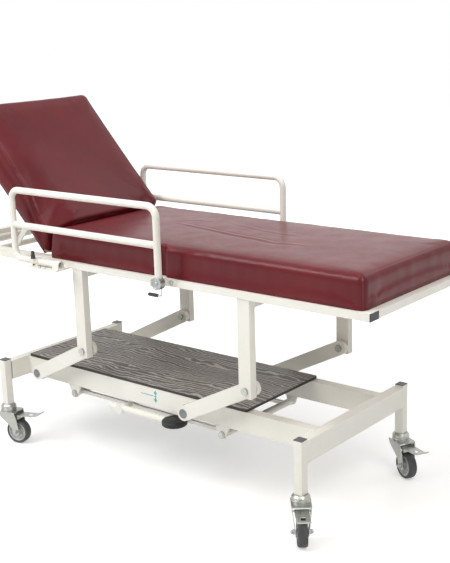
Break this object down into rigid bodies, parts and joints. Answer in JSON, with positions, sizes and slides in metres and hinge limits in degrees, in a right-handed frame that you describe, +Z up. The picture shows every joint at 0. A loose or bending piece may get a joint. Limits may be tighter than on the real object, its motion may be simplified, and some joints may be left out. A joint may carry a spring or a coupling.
{
  "type": "examination table",
  "caption": "Padded examination table with raised backrest, folding cot sides, pedal-worked hydraulic lift, shelf and braked castors.",
  "frame": {"origin": "on the floor, under the middle of the top frame's length and width", "axes": "+X points to the foot end along the table, +Z up, -Y is the side with the foot pedal"},
  "size_m": [2.047, 0.9074, 1.3488],
  "materials": {
    "cream_coat": "satin cream-white powder coat",
    "vinyl": "burgundy vinyl upholstery with a soft sheen",
    "board": "plain board",
    "shelf_grain": "grey wood-grain vinyl on a board",
    "zinc": "bright zinc plate",
    "zinc_cast": "cast zinc alloy",
    "black_plastic": "matt black plastic",
    "grey_plastic": "dark grey moulded plastic",
    "plug_plastic": "grey moulded plastic",
    "bush_plastic": "black nylon bush",
    "pump_grey": "grey painted casting",
    "ram_steel": "bright ground steel",
    "pedal_rubber": "dark rubber",
    "hub_plastic": "light grey moulded plastic",
    "tyre_rubber": "dark grey tyre"
  },
  "bodies": {
    "base": {"base_ends": "cream_coat", "base_rails": "cream_coat", "leg_caps": "grey_plastic", "shelf_board": "shelf_grain", "torque_bushes": "bush_plastic", "pump_brackets": "cream_coat", "pump_frame": "cream_coat", "bracket_bolts": "zinc", "pump_unit": "pump_grey", "ram_barrel": "zinc", "castor_heads": "zinc"},
    "head_arms": {"head_arms": "cream_coat", "head_torque_tube": "cream_coat", "head_plugs": "plug_plastic"},
    "foot_arms": {"foot_arms": "cream_coat", "foot_torque_tube": "cream_coat", "foot_plugs": "plug_plastic"},
    "top": {"top_frame": "cream_coat", "post_frames": "cream_coat", "rail_caps": "black_plastic", "arm_bolts": "zinc", "pad_boards": "board", "seat_pad": "vinyl", "stay_racks": "zinc", "hinge_pins": "zinc", "cot_brackets": "cream_coat"},
    "back": {"back_frame": "cream_coat", "back_board": "board", "back_pad": "vinyl"},
    "stay": {"back_stay": "cream_coat"},
    "ram": {"ram_rod": "ram_steel"},
    "pedal": {"pump_lever": "cream_coat", "pedal_pad": "pedal_rubber"},
    "near_cot": {"near_cot_side": "cream_coat", "near_knuckle": "zinc_cast"},
    "near_latch": {"near_latch": "zinc", "near_grip": "black_plastic"},
    "near_plunger": {"near_plunger": "black_plastic"},
    "far_cot": {"far_cot_side": "cream_coat", "far_knuckle": "zinc_cast"},
    "far_latch": {"far_latch": "zinc", "far_grip": "black_plastic"},
    "far_plunger": {"far_plunger": "black_plastic"},
    "foot_near_swivel": {"foot_near_fork": "zinc"},
    "foot_near_wheel": {"foot_near_hub": "hub_plastic", "foot_near_tyre": "tyre_rubber"},
    "foot_near_brake": {"foot_near_brake": "zinc"},
    "foot_far_swivel": {"foot_far_fork": "zinc"},
    "foot_far_wheel": {"foot_far_hub": "hub_plastic", "foot_far_tyre": "tyre_rubber"},
    "foot_far_brake": {"foot_far_brake": "zinc"},
    "head_near_swivel": {"head_near_fork": "zinc"},
    "head_near_wheel": {"head_near_hub": "hub_plastic", "head_near_tyre": "tyre_rubber"},
    "head_near_brake": {"head_near_brake": "zinc"},
    "head_far_swivel": {"head_far_fork": "zinc"},
    "head_far_wheel": {"head_far_hub": "hub_plastic", "head_far_tyre": "tyre_rubber"},
    "head_far_brake": {"head_far_brake": "zinc"}
  },
  "joints": [
    {"name": "lift", "type": "hinge", "parent": "base", "child": "head_arms", "pos_m": [-0.535, 0, 0.303], "axis": [0, -1, 0], "range_deg": [-65, 7]},
    {"name": "top_level", "type": "hinge", "parent": "head_arms", "child": "top", "pos_m": [-0.2276, 0, 0.45963], "axis": [0, -1, 0], "range_deg": [-7, 65]},
    {"name": "foot_lift", "type": "hinge", "parent": "base", "child": "foot_arms", "pos_m": [0.237, 0, 0.303], "axis": [0, -1, 0], "range_deg": [-65, 7]},
    {"name": "ram_stroke", "type": "slide", "parent": "base", "child": "ram", "axis": [1, 0, 0], "range_m": [-0.0595, 0.0068]},
    {"name": "backrest", "type": "hinge", "parent": "top", "child": "back", "pos_m": [-0.395, 0, 0.801], "axis": [0, 1, 0], "range_deg": [-47, 13]},
    {"name": "stay", "type": "hinge", "parent": "back", "child": "stay", "pos_m": [-0.56181, 0, 0.95935], "axis": [0, 1, 0], "range_deg": [-26, 94]},
    {"name": "near_cot_fold", "type": "hinge", "parent": "top", "child": "near_cot", "pos_m": [0, -0.357, 0.795], "axis": [1, 0, 0], "range_deg": [0, 175]},
    {"name": "near_latch_turn", "type": "hinge", "parent": "top", "child": "near_latch", "pos_m": [0.208, -0.325, 0.795], "axis": [0, 0, 1], "range_deg": [0, 30], "stiffness_Nm_per_rad": 0.3, "springref_deg": -11.46},
    {"name": "near_plunger_pull", "type": "slide", "parent": "top", "child": "near_plunger", "axis": [0, 0, 1], "range_m": [0, 0.008], "stiffness_N_per_m": 600, "springref_m": -0.005},
    {"name": "far_cot_fold", "type": "hinge", "parent": "top", "child": "far_cot", "pos_m": [0, 0.357, 0.795], "axis": [-1, 0, 0], "range_deg": [0, 175]},
    {"name": "far_latch_turn", "type": "hinge", "parent": "top", "child": "far_latch", "pos_m": [0.208, 0.325, 0.795], "axis": [0, 0, -1], "range_deg": [0, 30], "stiffness_Nm_per_rad": 0.3, "springref_deg": -11.46},
    {"name": "far_plunger_pull", "type": "slide", "parent": "top", "child": "far_plunger", "axis": [0, 0, 1], "range_m": [0, 0.008], "stiffness_N_per_m": 600, "springref_m": -0.005},
    {"name": "pedal", "type": "hinge", "parent": "base", "child": "pedal", "pos_m": [-0.115, 0, 0.232], "axis": [0, 1, 0], "range_deg": [0, 18], "stiffness_Nm_per_rad": 20, "springref_deg": -34.38},
    {"name": "foot_near_swivel", "type": "hinge", "parent": "base", "child": "foot_near_swivel", "pos_m": [0.772, -0.318, 0.1], "axis": [0, 0, 1], "continuous": true},
    {"name": "foot_near_roll", "type": "hinge", "parent": "foot_near_swivel", "child": "foot_near_wheel", "pos_m": [0.79843, -0.35064, 0.05], "axis": [0.7771, 0.6293, 0], "continuous": true},
    {"name": "foot_near_brake_press", "type": "hinge", "parent": "foot_near_swivel", "child": "foot_near_brake", "pos_m": [0.7934, -0.34442, 0.118], "axis": [0.7771, 0.6293, 0], "range_deg": [0, 12]},
    {"name": "foot_far_swivel", "type": "hinge", "parent": "base", "child": "foot_far_swivel", "pos_m": [0.772, 0.318, 0.1], "axis": [0, 0, 1], "continuous": true},
    {"name": "foot_far_roll", "type": "hinge", "parent": "foot_far_swivel", "child": "foot_far_wheel", "pos_m": [0.80873, 0.29764, 0.05], "axis": [0.4848, 0.8746, 0], "continuous": true},
    {"name": "foot_far_brake_press", "type": "hinge", "parent": "foot_far_swivel", "child": "foot_far_brake", "pos_m": [0.80174, 0.30152, 0.118], "axis": [0.4848, 0.8746, 0], "range_deg": [0, 12]},
    {"name": "head_near_swivel", "type": "hinge", "parent": "base", "child": "head_near_swivel", "pos_m": [-0.672, -0.318, 0.1], "axis": [0, 0, 1], "continuous": true},
    {"name": "head_near_roll", "type": "hinge", "parent": "head_near_swivel", "child": "head_near_wheel", "pos_m": [-0.63125, -0.30784, 0.05], "axis": [-0.2419, 0.9703, 0], "continuous": true},
    {"name": "head_near_brake_press", "type": "hinge", "parent": "head_near_swivel", "child": "head_near_brake", "pos_m": [-0.63901, -0.30978, 0.118], "axis": [-0.2419, 0.9703, 0], "range_deg": [0, 12]},
    {"name": "head_far_swivel", "type": "hinge", "parent": "base", "child": "head_far_swivel", "pos_m": [-0.672, 0.318, 0.1], "axis": [0, 0, 1], "continuous": true},
    {"name": "head_far_roll", "type": "hinge", "parent": "head_far_swivel", "child": "head_far_wheel", "pos_m": [-0.69843, 0.35064, 0.05], "axis": [-0.7771, -0.6293, 0], "continuous": true},
    {"name": "head_far_brake_press", "type": "hinge", "parent": "head_far_swivel", "child": "head_far_brake", "pos_m": [-0.6934, 0.34442, 0.118], "axis": [-0.7771, -0.6293, 0], "range_deg": [0, 12]}
  ],
  "couplings": [
    {"joint": "top_level", "follows": "lift", "ratio": -1},
    {"joint": "foot_lift", "follows": "lift", "ratio": 1},
    {"joint": "ram_stroke", "follows": "lift", "m_per_rad": 0.0519},
    {"joint": "stay", "follows": "backrest", "ratio": -2}
  ]
}
